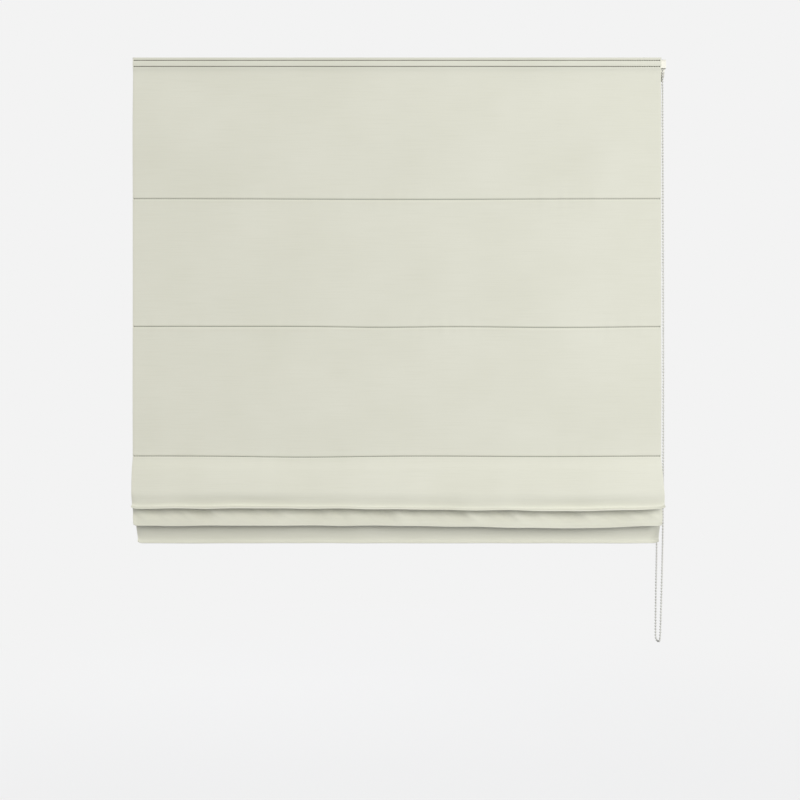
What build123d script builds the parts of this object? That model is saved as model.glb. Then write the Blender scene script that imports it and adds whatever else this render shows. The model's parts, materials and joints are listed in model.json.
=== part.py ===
from build123d import *
import math
import os

# A roman blind, drawn part of the way up, with its headrail, chain drive and lift cords.
# X runs along the headrail, the front of the cloth faces -Y, and Z is up.
# The origin is midway between the two mounting screws, on the plane that the brackets are screwed to.
# All lengths are in millimetres.

# Cloth
cloth_width = 1068
cloth_top = -2
face_thickness = 0.8
lining_thickness = 0.5
layer_gap = 0.15
header_hem = 22
header_gap = 0.3
header_fold_radius = 0.9
side_hem = 38
side_hem_gap = 0.5
bottom_hem = 36
bottom_hem_depth = 7.2
bottom_hem_radius = 3.5

# Stitched seams, counted from the top of the cloth
first_seam_drop = 285
seam_pitch = 260
seam_dip = 0.5
seam_half_width = 2.5
seam_radius = 3
seam_count = 3

# The gathered folds below the last seam
front_fold_drop = 104
front_fold_reach = 21.5
front_fold_depth = 13.5
front_fold_radius = 6
flare_share = 0.21
flare_ease_share = 0.85
belly_share = 0.86
belly_ease_share = 0.4
back_fold_drop = 141
back_fold_reach = 3
back_fold_depth = 12.5
back_fold_radius = 5.5
gather_half_width = 2
gather_radius = 1.5
hem_drop = 179
hem_setback = 30
hem_upright = 75
hem_ease_share = 0.8

# Battens in their tapes, and the eyelets clipped over them
batten_count = 5
batten_diameter = 4
batten_inset = 14
tape_inset = 10
tape_wall = 0.5
tape_clearance = 0.1
tape_standoff = 2.3
tape_tab = 6
tab_below_seam = 3
tape_seat = 0.3
stack_pitch = 13
stack_setback = 5.7
eyelet_width = 9
eyelet_wall = 1.4
eyelet_clearance = 0.1
eyelet_grip = 0.6
eyelet_outer_radius = 4.2
eyelet_hole_radius = 2.4
eyelet_height = 5
cord_stop_radius = 3.2
cord_stop_length = 9
cord_stop_chamfer = 1

# Bottom bar
bar_height = 22
bar_thickness = 3
bar_edge_radius = 1.4
bar_inset = 22
bar_lift = 0.6
bar_cap_wall = 0.7
bar_cap_length = 16
bar_cap_clearance = 0.1

# Headrail
rail_top = -4
rail_depth = 44
rail_height = 36.4
rail_wall = 1.4
rail_channel_height = 2
rail_channel_lip = 3
rail_bottom_lip = 5
rail_edge_radius = 0.8
left_inset = 3
tape_height = 18
tape_drop = 3
hook_tape_thickness = 1.2
loop_tape_thickness = 1.2
loop_tape_inset = 2

# Mounting brackets
bracket_inset = 124
bracket_length = 32
bracket_thickness = 1.5
bracket_width = 25
bracket_foot = 37.6
bracket_bend_radius = 1.9
bracket_seat = 0.2
screw_hole_radius = 2.5

# End fittings
plate_thickness = 3
plate_corner_radius = 2.5
plug_clearance = 0.3
plug_wall = 1.6
plug_length = 14
boss_wall = 2
running_clearance = 0.05

# Shaft, spools and lift cords
shaft_drop = 24
shaft_side = 6
shaft_clearance = 0.05
bush_radius = 6
bush_collar = 1.5
bush_collar_thickness = 2
coupling_radius = 7
coupling_length = 26
cord_inset = 110
cord_radius = 0.7
cord_clearance = 0.1
cord_bend_radius = 20
wound_turns = 6
wound_pitch = 1.5
drum_radius = 12.1
spool_core_length = 30
spool_flange_radius = 14.2
spool_flange_thickness = 1.2
journal_radius = 5
journal_length = 4
cradle_wall = 2
cradle_side_height = 9
cradle_side_clearance = 0.4
cradle_end_gap = 0.4

# Chain drive
chain_beyond_cloth = 4.5
chain_pitch = 6
chain_drop = 1163
bead_radius = 2.25
bead_length = 5.2
bead_sides = 6
chain_cord_radius = 0.6
wheel_beads = 18
wheel_width = 8.4
wheel_web = 1.5
wheel_rim = 1
wheel_inner_radius = 10.6
pocket_clearance = 0.3
wheel_side_gap = 0.5
spigot_radius = 6.5
spigot_bore_radius = 4.5
core_disc_thickness = 1.5
core_disc_gap = 0.2
finger_inner_radius = 8.2
finger_radial_gap = 0.4
finger_angle = 100
spring_wire = 1.1
spring_turns = 6
spring_fit = 0.1
spring_notch_share = 0.2
spring_tail_reach = 2
spring_tail_angle = 30
cover_wall = 1.5
cover_bead_gap = 0.5
cover_corner_radius = 7
cover_mouth = 2
cut_overrun = 1

# Worked out from the sizes above
shaft_z = -shaft_drop
rail_bottom = rail_top - rail_height
rail_front = -rail_depth / 2
rail_inner = rail_depth / 2 - rail_wall
web_top = rail_top - rail_wall - rail_channel_height
cavity_top = web_top - rail_wall
cavity_bottom = rail_bottom + rail_wall
header_thickness = 2 * face_thickness + header_gap
loop_tape_y = rail_front - hook_tape_thickness - loop_tape_thickness
cloth_y = loop_tape_y - header_thickness
lining_near = face_thickness + layer_gap
lining_far = lining_near + lining_thickness
layers = max(lining_far, 2 * face_thickness)
seams = [cloth_top - first_seam_drop - i * seam_pitch for i in range(seam_count)]
last_seam = seams[-1]

# The tube of each batten tape: three level with the seams, the rest stacked under the last
tube_inner = batten_diameter / 2 + tape_clearance
tube_outer = tube_inner + tape_wall
tube_rise = tape_tab - tab_below_seam
tubes = []
for i in range(batten_count):
    stacked = max(0, i - seam_count + 1)
    seam = seams[min(i, seam_count - 1)]
    tube_y = cloth_y + tape_standoff + tube_outer + stacked * stack_setback
    tubes.append((tube_y, seam + tube_rise - stacked * stack_pitch))

cord_y = -drum_radius - cord_clearance - cord_radius
eyelet_reach = cord_y - tubes[0][0]
cord_spread = cloth_width / 2 - cord_inset
cord_places = [-cord_spread, 0, cord_spread]
bracket_spread = cloth_width / 2 - bracket_inset

# The chain wheel and the stations along the drive end, outwards from the wheel
chain_x = cloth_width / 2 + chain_beyond_cloth
wheel_radius = wheel_beads * chain_pitch / (2 * math.pi)
strand_beads = round((chain_drop - wheel_radius) / chain_pitch)
chain_low = shaft_z - strand_beads * chain_pitch
wheel_start = chain_x - wheel_width / 2
wheel_end = chain_x + wheel_width / 2
plate_outer = wheel_start - wheel_web - wheel_side_gap
rail_right = plate_outer - plate_thickness
rail_left = -cloth_width / 2 + left_inset + plate_thickness
core_disc_start = wheel_end - core_disc_thickness
spigot_end = core_disc_start - core_disc_gap
housing_back = rail_right - plug_length


def along_x(face, start, end):
    """A face drawn in Y and Z, pulled along X from one place to another."""
    return extrude(Plane.YZ.offset(start) * face, amount=end - start)


def rod(y, z, radius, start, end):
    """A round bar along X."""
    return along_x(Pos(y, z) * Circle(radius), start, end)


def ring(y, z, outer, inner, start, end):
    """A round tube along X."""
    return along_x(Pos(y, z) * (Circle(outer) - Circle(inner)), start, end)


def square_bar(side, start, end):
    """A square bar along X on the shaft's line."""
    return along_x(Pos(0, shaft_z) * Rectangle(side, side), start, end)


def block(y_range, z_range):
    """A rectangle in Y and Z between two pairs of places."""
    (y_low, y_high), (z_low, z_high) = y_range, z_range
    centre = Pos((y_low + y_high) / 2, (z_low + z_high) / 2)
    return centre * Rectangle(y_high - y_low, z_high - z_low)


def shifted(route, distance):
    """A route's corners and bend radii, moved sideways to its left."""
    points = [Vector(y, z) for y, z, _ in route]
    runs = [(b - a).normalized() for a, b in zip(points, points[1:])]
    lefts = [Vector(-run.Y, run.X) for run in runs]
    moved = [points[0] + lefts[0] * distance]
    radii = []
    for i in range(1, len(points) - 1):
        before, after = lefts[i - 1], lefts[i]
        moved.append(points[i] + (before + after) * (distance / (1 + before.dot(after))))
        turn = runs[i - 1].cross(runs[i]).Z
        radii.append(route[i][2] - math.copysign(distance, turn))
    moved.append(points[-1] + lefts[-1] * distance)
    return moved, radii


def strip(route, near, far):
    """A band of even thickness that follows a route, between two distances on its left."""
    first, first_radii = shifted(route, near)
    second, second_radii = shifted(route, far)
    sides = FilletPolyline(*first, radius=first_radii) + FilletPolyline(*second, radius=second_radii)
    return make_face(sides + Line(first[0], second[0]) + Line(first[-1], second[-1]))


def gather(index):
    """The two corners where the cloth turns over below a gathered batten, apex level and middle."""
    y, z = tubes[index]
    apex = z - tape_tab - tape_seat - layers
    return [(y - gather_half_width, apex, gather_radius), (y + gather_half_width, apex, gather_radius)]


def seam_route():
    """The flat panels, which dip where each seam is stitched through to its batten tape."""
    route = []
    for z in seams:
        route += [
            (cloth_y, z + seam_half_width, seam_radius),
            (cloth_y + seam_dip, z, seam_radius),
            (cloth_y, z - seam_half_width, seam_radius),
        ]
    return route


def eased(before, corner, after, share):
    """A corner whose bend uses up a share of the shorter of its two runs."""
    a, b, c = Vector(*before[:2]), Vector(*corner), Vector(*after[:2])
    half_turn = math.radians((b - a).get_angle(c - b)) / 2
    return *corner, share * min((b - a).length, (c - b).length) / math.tan(half_turn)


def fold_route():
    """The two loops of cloth gathered below the last seam, and the panel that hangs behind them."""
    front_y = cloth_y - front_fold_reach
    front_low = last_seam - front_fold_drop
    back_y = cloth_y - back_fold_reach
    back_low = last_seam - back_fold_drop
    seam = (cloth_y, last_seam - seam_half_width)
    flare = (cloth_y, last_seam - flare_share * front_fold_drop)
    belly = (front_y, last_seam - belly_share * front_fold_drop)
    front_loop = [
        eased(seam, flare, belly, flare_ease_share),
        eased(flare, belly, (front_y, front_low), belly_ease_share),
        (front_y, front_low, front_fold_radius),
        (front_y + front_fold_depth, front_low, front_fold_radius),
    ]
    back_loop = [
        (back_y, back_low, back_fold_radius),
        (back_y + back_fold_depth, back_low, back_fold_radius),
    ]
    lower_gather = gather(seam_count + 1)
    hem_y, hem_low = cloth_y + hem_setback, last_seam - hem_drop
    hem_top = (hem_y, hem_low + bottom_hem + side_hem_gap)
    hang = eased(lower_gather[-1], (hem_y, hem_low + hem_upright), hem_top, hem_ease_share)
    return front_loop + gather(seam_count) + back_loop + lower_gather + [hang]


def hem_route():
    """The bottom hem, turned up at the back round the bottom bar."""
    hem_y, low = cloth_y + hem_setback, last_seam - hem_drop
    back = hem_y + bottom_hem_depth
    return [
        (hem_y, low, bottom_hem_radius),
        (back, low, bottom_hem_radius),
        (back, low + bottom_hem, 0),
    ]


def face_cloth():
    """The face cloth: one sheet, turned over at the head, the bottom and down both sides."""
    head = cloth_y + header_thickness
    header = [
        (head, cloth_top - header_hem, 0),
        (head, cloth_top, header_fold_radius),
        (cloth_y, cloth_top, header_fold_radius),
    ]
    sheet = strip(header + seam_route() + fold_route() + hem_route(), 0, face_thickness)
    half = cloth_width / 2
    cloth = along_x(sheet, -half, half)
    turned = strip(back_route(bottom_hem + side_hem_gap), face_thickness, 2 * face_thickness)
    return cloth + along_x(turned, -half, side_hem - half) + along_x(turned, half - side_hem, half)


def back_route(foot):
    """The cloth between the header and a height above the bottom of the hem."""
    start = [(cloth_y, cloth_top - header_hem - side_hem_gap, 0)]
    end = [(cloth_y + hem_setback, last_seam - hem_drop + foot, 0)]
    return start + seam_route() + fold_route() + end


def lining_cloth():
    """The lining, between the side hems, tucked into the top of the bottom hem."""
    foot = bottom_hem_radius + bar_lift + bar_height
    half = cloth_width / 2 - side_hem - side_hem_gap
    return along_x(strip(back_route(foot), lining_near, lining_far), -half, half)


def batten_tape(y, z):
    """A woven tape: a tube that holds the batten and a flat tab that is sewn to the cloth."""
    front = y - tube_outer
    tab = block((front, front + tape_wall), (z - tape_tab, z))
    half = cloth_width / 2 - tape_inset
    return along_x(Pos(y, z) * Circle(tube_outer) + tab - Pos(y, z) * Circle(tube_inner), -half, half)


def cord_eyelets(y, z):
    """Moulded guides clipped over the batten's tube, each with an upright eye for a lift cord."""
    grip_inner = tube_outer + eyelet_clearance
    grip_outer = grip_inner + eyelet_wall
    open_side = block((y - grip_outer - cut_overrun, y - eyelet_grip), (z - grip_outer, z + grip_outer))
    half_height = eyelet_height / 2
    arm = block((y + grip_inner, y + eyelet_reach), (z - half_height, z + half_height))
    hollow = Pos(y, z) * Circle(grip_inner)
    grip = Pos(y, z) * Circle(grip_outer) + arm - hollow - open_side
    eye_low = Plane.XY.offset(z - half_height)
    clips = []
    for x in cord_places:
        eye_at = Pos(x, y + eyelet_reach)
        low, high = x - eyelet_width / 2, x + eyelet_width / 2
        body = along_x(grip, low, high)
        trim = extrude(eye_low * Pos(x, y + eyelet_reach + eyelet_outer_radius)
                       * Rectangle(eyelet_width + cut_overrun, 2 * eyelet_outer_radius), amount=eyelet_height)
        eye = extrude(eye_low * eye_at * Circle(eyelet_outer_radius), amount=eyelet_height)
        hole = extrude(eye_low * eye_at * Circle(eyelet_hole_radius), amount=eyelet_height)
        clips.append(body - trim + eye - hole - along_x(hollow, low, high))
    return clips


def cord_stops(y, z):
    """Barrels that end the lift cords, drawn up under the lowest eyelets."""
    top = z - eyelet_height / 2
    stops = []
    for x in cord_places:
        low = Plane.XY.offset(top - cord_stop_length) * Pos(x, y + eyelet_reach)
        barrel = extrude(low * Circle(cord_stop_radius), amount=cord_stop_length)
        rims = barrel.edges().filter_by(GeomType.CIRCLE)
        stops.append(chamfer(rims, cord_stop_chamfer))
    return stops


def lift_cord(x):
    """A lift cord: off the front of its spool, down through the eyelets to its stop."""
    low_y, low_z = tubes[-1]
    drop = eyelet_height / 2 - cord_radius
    points = [
        (cord_y, shaft_z),
        (cord_y, tubes[seam_count - 1][1]),
        (low_y + eyelet_reach + drop * stack_setback / stack_pitch, low_z - drop),
    ]
    path = Plane.YZ.offset(x) * FilletPolyline(*points, radius=cord_bend_radius)
    start = Plane(path @ 0, z_dir=path % 0)
    return sweep(start * Circle(cord_radius), path=path)


def bottom_bar():
    """A flat aluminium bar with rounded edges that weights the hem."""
    y, low = bar_place()
    section = block((y - bar_thickness / 2, y + bar_thickness / 2), (low, low + bar_height))
    section = fillet(section.vertices(), bar_edge_radius)
    half = cloth_width / 2 - bar_inset
    return along_x(section, -half, half)


def bar_place():
    """The bar's middle in Y and its lower edge: it lies in the turn of the hem."""
    y = cloth_y + hem_setback + bottom_hem_depth / 2
    return y, last_seam - hem_drop + face_thickness + bar_lift + bar_cap_wall + bar_cap_clearance


def bar_caps():
    """Moulded caps pushed over the ends of the bottom bar."""
    y, low = bar_place()
    inner_half = bar_thickness / 2 + bar_cap_clearance
    inner = block((y - inner_half, y + inner_half),
                  (low - bar_cap_clearance, low + bar_height + bar_cap_clearance))
    outer = block((y - inner_half - bar_cap_wall, y + inner_half + bar_cap_wall),
                  (low - bar_cap_clearance - bar_cap_wall, low + bar_height + bar_cap_clearance + bar_cap_wall))
    outer = fillet(outer.vertices(), bar_edge_radius)
    bar_end = cloth_width / 2 - bar_inset
    tip = bar_end + bar_cap_clearance
    cap = along_x(outer, tip - bar_cap_length, tip + bar_cap_wall) - along_x(inner, tip - bar_cap_length, tip)
    return [cap, mirror(cap, Plane.YZ)]


def headrail():
    """The aluminium headrail: a channel on top for the brackets and a slot below for the cords."""
    outer = block((rail_front, -rail_front), (rail_bottom, rail_top))
    outer = fillet(outer.vertices(), rail_edge_radius)
    channel = block((-rail_inner, rail_inner), (web_top, rail_top - rail_wall))
    mouth_half = rail_inner - rail_channel_lip
    mouth = block((-mouth_half, mouth_half), (web_top, rail_top))
    cavity = block((-rail_inner, rail_inner), (cavity_bottom, cavity_top))
    slot_half = rail_inner - rail_bottom_lip
    slot = block((-slot_half, slot_half), (rail_bottom, cavity_top))
    return along_x(outer - channel - mouth - cavity - slot, rail_left, rail_right)


def hook_tape():
    """The hook strip stuck along the headrail's front face."""
    top = cloth_top - tape_drop
    face = block((loop_tape_y + loop_tape_thickness, rail_front), (top - tape_height, top))
    return along_x(face, rail_left, rail_right)


def loop_tape():
    """The loop strip sewn behind the header, which holds the cloth to the headrail."""
    top = cloth_top - tape_drop
    face = block((loop_tape_y, loop_tape_y + loop_tape_thickness), (top - tape_height, top))
    half = cloth_width / 2 - loop_tape_inset
    return along_x(face, -half, half)


def bracket(x):
    """A pressed steel bracket: a hat section whose feet slide in the headrail's top channel."""
    foot_low = web_top + bracket_seat
    route = [
        (-bracket_foot / 2, foot_low, 0),
        (-bracket_width / 2, foot_low, bracket_bend_radius),
        (-bracket_width / 2, -bracket_thickness, bracket_bend_radius),
        (bracket_width / 2, -bracket_thickness, bracket_bend_radius),
        (bracket_width / 2, foot_low, bracket_bend_radius),
        (bracket_foot / 2, foot_low, 0),
    ]
    hat = along_x(strip(route, 0, bracket_thickness), x - bracket_length / 2, x + bracket_length / 2)
    hole = Plane.XY.offset(-bracket_thickness - cut_overrun) * Pos(x, 0) * Circle(screw_hole_radius)
    return hat - extrude(hole, amount=bracket_thickness + 2 * cut_overrun)


def end_plate(start, end):
    """The flat plate that closes an end of the headrail."""
    face = block((rail_front, -rail_front), (rail_bottom, rail_top))
    return along_x(fillet(face.vertices(), plate_corner_radius), start, end)


def end_plug(start, end):
    """The hollow plug of an end fitting, a push fit inside the headrail."""
    half = rail_inner - plug_clearance
    low, high = cavity_bottom + plug_clearance, cavity_top - plug_clearance
    outer = block((-half, half), (low, high))
    inner = block((plug_wall - half, half - plug_wall), (low + plug_wall, high - plug_wall))
    return along_x(outer - inner, start, end)


def left_end_cap():
    """The left end cap, with the boss that the shaft's bush turns in."""
    inside = rail_left + plug_length
    bore = bush_radius + running_clearance
    boss = ring(0, shaft_z, bore + boss_wall, bore, rail_left, inside)
    return end_plate(rail_left - plate_thickness, rail_left) + end_plug(rail_left, inside) + boss


def shaft_bush():
    """A turned bush with a square socket that carries the left end of the shaft."""
    inside = rail_left + plug_length
    end = inside + running_clearance + bush_collar_thickness
    barrel = rod(0, shaft_z, bush_radius, rail_left + running_clearance, end)
    collar = rod(0, shaft_z, bush_radius + bush_collar, inside + running_clearance, end)
    return barrel + collar - square_bar(shaft_side + 2 * shaft_clearance, rail_left + plate_thickness, end)


def drive_housing():
    """The fixed half of the drive: plate, plug and the spigot that the wheel and spring sit on."""
    spigot = rod(0, shaft_z, spigot_radius, housing_back, spigot_end)
    body = end_plate(rail_right, plate_outer) + end_plug(housing_back, rail_right) + spigot
    return body - rod(0, shaft_z, spigot_bore_radius, housing_back, spigot_end)


def chain_wheel():
    """The chain wheel: a pocket for each bead, a groove for the cord and a key for the brake spring."""
    rim = wheel_radius + wheel_rim
    wheel = ring(0, shaft_z, rim, wheel_inner_radius, wheel_start, wheel_end)
    web = ring(0, shaft_z, rim, spigot_radius + running_clearance, wheel_start - wheel_web, wheel_start)
    key_end = core_disc_start - core_disc_gap
    key = sector(finger_inner_radius, wheel_inner_radius + wheel_rim, finger_angle, 180, wheel_start, key_end)
    groove = bead_radius / 2
    cord_way = ring(0, shaft_z, rim + cut_overrun, wheel_radius - groove, chain_x - groove, chain_x + groove)
    wheel = wheel + web + key - cord_way
    pocket = Sphere(bead_radius + pocket_clearance)
    for i in range(wheel_beads):
        wheel -= bead_place(i * 360 / wheel_beads, shaft_z) * pocket
    return wheel


def sector(inner, outer, angle, middle, start, end):
    """Part of a ring about the shaft, given by its angle and the direction of its middle."""
    reach = 2 * outer
    half = math.radians(angle / 2)
    corner = (reach * math.cos(half), reach * math.sin(half))
    wedge = make_face(Polyline((0, 0), corner, (corner[0], -corner[1]), close=True))
    face = (Circle(outer) - Circle(inner)) & wedge
    return along_x(Pos(0, shaft_z) * Rot(0, 0, middle) * face, start, end)


def drive_core():
    """The driven half of the drive: a disc with a finger for the spring, and a stub through the spigot."""
    stub_radius = spigot_bore_radius - running_clearance
    disc_radius = wheel_inner_radius - finger_radial_gap
    disc = rod(0, shaft_z, disc_radius, core_disc_start, wheel_end)
    finger = sector(finger_inner_radius, disc_radius, finger_angle, 0, wheel_start + core_disc_gap, core_disc_start)
    stub = rod(0, shaft_z, stub_radius, housing_back - core_disc_gap, core_disc_start)
    tongue_end = housing_back - core_disc_gap
    tongue = square_bar(shaft_side, tongue_end - coupling_length / 2 + shaft_clearance, tongue_end)
    return disc + finger + stub + tongue


def brake_spring():
    """The wrap spring: close turns of square wire on the spigot, with a tail at each end."""
    inner = spigot_radius + spring_fit
    outer = inner + spring_wire
    start = wheel_start + core_disc_gap
    notch = spring_notch_share * spring_wire
    spring = ring(0, shaft_z, outer, inner, start, start + spring_turns * spring_wire)
    for i in range(1, spring_turns):
        x = start + i * spring_wire
        spring -= ring(0, shaft_z, outer, outer - notch, x - notch / 2, x + notch / 2)
    for i, side in [(0, spring_tail_angle), (spring_turns - 1, -spring_tail_angle)]:
        tail = block((0, spring_wire), (inner + notch, inner + spring_tail_reach + notch))
        x = start + i * spring_wire
        spring += along_x(Pos(0, shaft_z) * Rot(0, 0, side) * tail, x, x + spring_wire)
    return spring


def shaft_coupling():
    """A sleeve with a square hole that joins the drive core's tongue to the shaft."""
    end = housing_back - core_disc_gap
    sleeve = rod(0, shaft_z, coupling_radius, end - coupling_length, end)
    return sleeve - square_bar(shaft_side + 2 * shaft_clearance, end - coupling_length, end)


def drive_shaft():
    """The square shaft that turns the three spools together."""
    end = housing_back - core_disc_gap - coupling_length / 2
    return square_bar(shaft_side, rail_left + plate_thickness + shaft_clearance, end - shaft_clearance)


def spool_start(x):
    """Where a spool's core begins, so that its cord leaves just past the wound turns."""
    return x - (wound_turns + 1 / 2) * wound_pitch - cord_clearance


def cord_spool(x):
    """A lift spool: a drum between flanges, with a journal at each end and a square bore."""
    start = spool_start(x)
    end = start + spool_core_length
    low, high = start - spool_flange_thickness, end + spool_flange_thickness
    spool = rod(0, shaft_z, drum_radius, start, end)
    spool += rod(0, shaft_z, spool_flange_radius, low, start)
    spool += rod(0, shaft_z, spool_flange_radius, end, high)
    spool += rod(0, shaft_z, journal_radius, low - journal_length, high + journal_length)
    hole = shaft_side + 2 * shaft_clearance
    return spool - square_bar(hole, low - journal_length, high + journal_length)


def wound_cord(x):
    """The turns of lift cord on a spool, side by side."""
    start = spool_start(x)
    inner = drum_radius + cord_clearance
    crest, valley = inner + 2 * cord_radius, inner + cord_radius
    points = [(start, inner), (start, valley)]
    for i in range(wound_turns):
        middle = start + (i + 1 / 2) * wound_pitch
        points += [(middle, crest), (middle + wound_pitch / 2, valley)]
    points.append((start + wound_turns * wound_pitch, inner))
    section = make_face(Polyline(*points, close=True))
    return Pos(0, 0, shaft_z) * revolve(Plane.XZ * section, Axis.X)


def spool_cradle(x):
    """A cradle on the headrail's lips: two end walls with open saddles, joined by side rails."""
    start = spool_start(x) - spool_flange_thickness - cradle_end_gap
    end = start + spool_core_length + 2 * spool_flange_thickness + 2 * cradle_end_gap
    half = rail_inner - cradle_side_clearance
    bore = journal_radius + running_clearance
    low = cavity_bottom
    side_top = low + cradle_side_height
    saddle_top = shaft_z + bore
    wall = block((-half, half), (low, side_top)) + block((-bore - boss_wall, bore + boss_wall), (low, saddle_top))
    notch = Pos(0, shaft_z) * Circle(bore) + block((-bore, bore), (shaft_z, saddle_top + cut_overrun))
    wall = wall - notch
    cradle = along_x(wall, start - cradle_wall, start) + along_x(wall, end, end + cradle_wall)
    for side in (-1, 1):
        rail = sorted((side * half, side * (half - cradle_wall)))
        cradle += along_x(block(rail, (low, side_top)), start, end)
    return cradle


def drive_cover():
    """The hood over the top of the chain wheel, open below where the chain runs out."""
    cavity_half = wheel_radius + bead_radius + cover_bead_gap
    outer_half = cavity_half + cover_wall
    low = shaft_z + cover_mouth
    high = shaft_z + outer_half
    outer = block((-outer_half, outer_half), (low, high))
    outer = fillet(outer.vertices().group_by(Axis.Y)[-1], cover_corner_radius)
    inner = block((-cavity_half, cavity_half), (low, shaft_z + cavity_half))
    inner = fillet(inner.vertices().group_by(Axis.Y)[-1], cover_corner_radius - cover_wall)
    end = wheel_end + wheel_side_gap
    return along_x(outer, plate_outer, end + cover_wall) - along_x(inner, plate_outer, end)


def bead_place(angle, centre_z):
    """Where a bead sits on a turn of the chain, by its angle about the turn's centre."""
    a = math.radians(angle)
    y, z = wheel_radius * math.cos(a), centre_z + wheel_radius * math.sin(a)
    return Pos(chain_x, y, z) * Rot(angle, 0, 0)


def chain_beads():
    """The beads: round the wheel, down both strands and round the low end of the loop."""
    waist = RegularPolygon(bead_radius, bead_sides)
    cone = loft([waist.face(), Vertex(0, 0, bead_length / 2)])
    bead = cone + mirror(cone, Plane.XY)
    places = []
    for i in range(wheel_beads // 2 + 1):
        angle = i * 360 / wheel_beads
        places += [bead_place(angle, shaft_z), bead_place(-angle, chain_low)]
    for i in range(1, strand_beads):
        z = shaft_z - i * chain_pitch
        places += [Pos(chain_x, -wheel_radius, z), Pos(chain_x, wheel_radius, z)]
    return [place * bead for place in places]


def chain_cord():
    """The endless cord through the beads: two straight strands and two half turns."""
    section = Circle(chain_cord_radius)
    cord = None
    for side in (-1, 1):
        strand = Plane.XY.offset(chain_low) * Pos(chain_x, side * wheel_radius) * section
        cord = extrude(strand, amount=shaft_z - chain_low) if cord is None else cord + extrude(
            strand, amount=shaft_z - chain_low)
    for centre, turn in [(shaft_z, 180), (chain_low, -180)]:
        axis = Axis((chain_x, 0, centre), (1, 0, 0))
        start = Plane.XY.offset(centre) * Pos(chain_x, wheel_radius) * section
        cord += revolve(start, axis, turn)
    return cord


def keep(name, shape):
    """Write a piece, or a group of like pieces, to its own file."""
    if isinstance(shape, list):
        shape = Compound(children=shape)
    export_step(shape, f"parts/{name}.step")


def main():
    os.makedirs("parts", exist_ok=True)
    keep("face_cloth", face_cloth())
    keep("lining", lining_cloth())
    keep("headrail", headrail())
    keep("hook_tape", hook_tape())
    keep("loop_tape", loop_tape())
    keep("bracket_left", bracket(-bracket_spread))
    keep("bracket_right", bracket(bracket_spread))
    keep("left_end_cap", left_end_cap())
    keep("shaft_bush", shaft_bush())
    keep("drive_housing", drive_housing())
    keep("drive_cover", drive_cover())
    keep("drive_core", drive_core())
    keep("chain_wheel", chain_wheel())
    keep("brake_spring", brake_spring())
    keep("shaft_coupling", shaft_coupling())
    keep("drive_shaft", drive_shaft())
    for name, x in zip(("left", "middle", "right"), cord_places):
        keep(f"cord_spool_{name}", cord_spool(x))
        keep(f"wound_cord_{name}", wound_cord(x))
        keep(f"spool_cradle_{name}", spool_cradle(x))
        keep(f"lift_cord_{name}", lift_cord(x))
    for i, (y, z) in enumerate(tubes, start=1):
        half = cloth_width / 2 - batten_inset
        keep(f"batten_{i}", rod(y, z, batten_diameter / 2, -half, half))
        keep(f"batten_tape_{i}", batten_tape(y, z))
        keep(f"cord_eyelets_{i}", cord_eyelets(y, z))
    keep("cord_stops", cord_stops(*tubes[-1]))
    keep("bottom_bar", bottom_bar())
    keep("bar_caps", bar_caps())
    keep("chain_cord", chain_cord())
    keep("chain_beads", chain_beads())


main()
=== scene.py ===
# %% [markdown]
# # A roman blind, drawn part of the way up
# The blind is a flat panel of pale ivory cloth that hangs from a headrail. Rods across its back keep it level. Cords
# draw the rods up, so the lower part gathers into folds, and a looped bead chain at the right turns the cord spools.
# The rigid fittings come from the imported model. This file adds the cloth, the stitching, the cords and the finishes.

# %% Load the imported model
import json
import math

import bpy
import numpy as np
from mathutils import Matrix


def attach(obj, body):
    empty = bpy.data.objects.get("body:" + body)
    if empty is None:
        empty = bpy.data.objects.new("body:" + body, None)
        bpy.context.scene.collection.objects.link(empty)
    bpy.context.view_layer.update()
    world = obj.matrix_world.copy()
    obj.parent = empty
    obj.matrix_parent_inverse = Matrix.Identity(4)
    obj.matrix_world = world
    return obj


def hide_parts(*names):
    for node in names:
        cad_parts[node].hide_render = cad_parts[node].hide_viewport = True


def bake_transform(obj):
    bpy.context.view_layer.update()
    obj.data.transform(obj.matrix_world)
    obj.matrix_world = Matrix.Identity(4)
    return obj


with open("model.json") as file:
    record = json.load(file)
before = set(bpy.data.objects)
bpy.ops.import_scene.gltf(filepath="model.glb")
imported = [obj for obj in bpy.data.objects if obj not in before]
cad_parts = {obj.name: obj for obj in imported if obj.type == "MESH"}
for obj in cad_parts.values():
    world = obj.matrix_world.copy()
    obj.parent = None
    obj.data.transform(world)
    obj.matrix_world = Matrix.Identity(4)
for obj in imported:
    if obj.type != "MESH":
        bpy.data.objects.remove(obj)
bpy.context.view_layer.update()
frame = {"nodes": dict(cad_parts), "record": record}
nodes = frame["nodes"]
scene = bpy.context.scene


# %% Put an object into the scene
def put(name, data):
    """A new object in the scene that shows some data."""
    thing = bpy.data.objects.new(name, data)
    scene.collection.objects.link(thing)
    return thing


# %% [markdown]
# ## Camera
# The photograph was taken square on, from about two metres, level with the middle of the picture. The lens is set
# from the width that the picture covers at the cloth, so every size in the picture follows from it.

# %% Camera
cloth_front = -0.0263
camera_distance = 2.0
camera_x = 0.006
camera_z = -0.694
picture_width_at_cloth = 1.616
camera = put("camera", bpy.data.cameras.new("camera"))
camera.location = (camera_x, cloth_front - camera_distance, camera_z)
camera.rotation_euler = (math.radians(90), 0, 0)
camera.data.sensor_width = 36
camera.data.lens = camera.data.sensor_width * camera_distance / picture_width_at_cloth
scene.camera = camera
scene.view_settings.view_transform = "Standard"
print("lens:", round(camera.data.lens, 2), "mm")

# %% [markdown]
# ## Two small helpers for node trees
# Every material below is a tree of nodes. One function adds a node, sets its properties and fills or links its
# inputs. Another turns the colours, which are written as sRGB hex values, into the linear values that Blender uses.


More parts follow.
